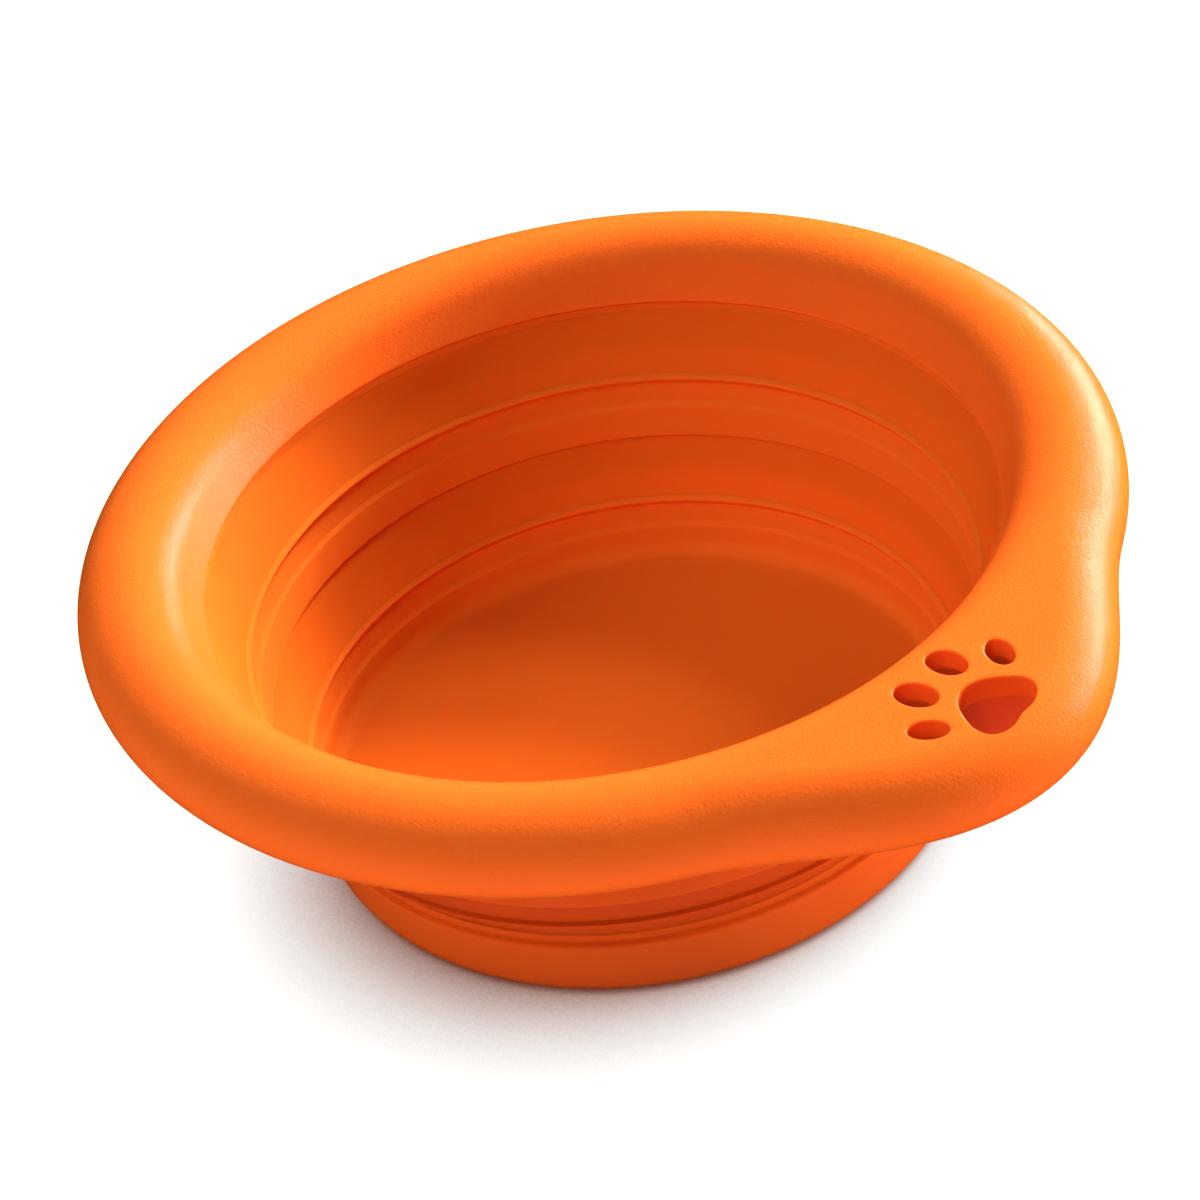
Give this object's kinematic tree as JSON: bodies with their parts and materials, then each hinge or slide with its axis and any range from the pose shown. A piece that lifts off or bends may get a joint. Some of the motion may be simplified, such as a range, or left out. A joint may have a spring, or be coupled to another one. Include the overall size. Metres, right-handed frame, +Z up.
{
  "type": "collapsible pet bowl",
  "caption": "Round silicone pet bowl that telescopes flat through fold webs, in a thick grained rim with a hang tab and a paw print cut-out.",
  "frame": {"origin": "on the bowl's axis, at the flat underside of its foot", "axes": "+Z up, out of the bowl's mouth; +X from the axis through the middle of the hang tab; +Y completes a right-handed frame"},
  "size_m": [0.1995, 0.1846, 0.0662],
  "materials": {
    "rim_rubber": "soft grained thermoplastic rubber, matt",
    "frame_plastic": "moulded polypropylene, matt",
    "bowl_silicone": "smooth satin silicone"
  },
  "bodies": {
    "base": {"base_cup": "bowl_silicone", "lower_fold": "bowl_silicone"},
    "middle": {"middle_band": "bowl_silicone", "upper_fold": "bowl_silicone"},
    "rim": {"collar": "bowl_silicone", "rim_cover": "rim_rubber", "rim_frame": "frame_plastic"}
  },
  "joints": [
    {"name": "lower_collapse", "type": "slide", "parent": "base", "child": "middle", "axis": [0, 0, 1], "range_m": [-0.0245, 0], "deforming": ["lower_fold"]},
    {"name": "upper_collapse", "type": "slide", "parent": "middle", "child": "rim", "axis": [0, 0, 1], "range_m": [-0.025, 0], "deforming": ["upper_fold"]}
  ]
}
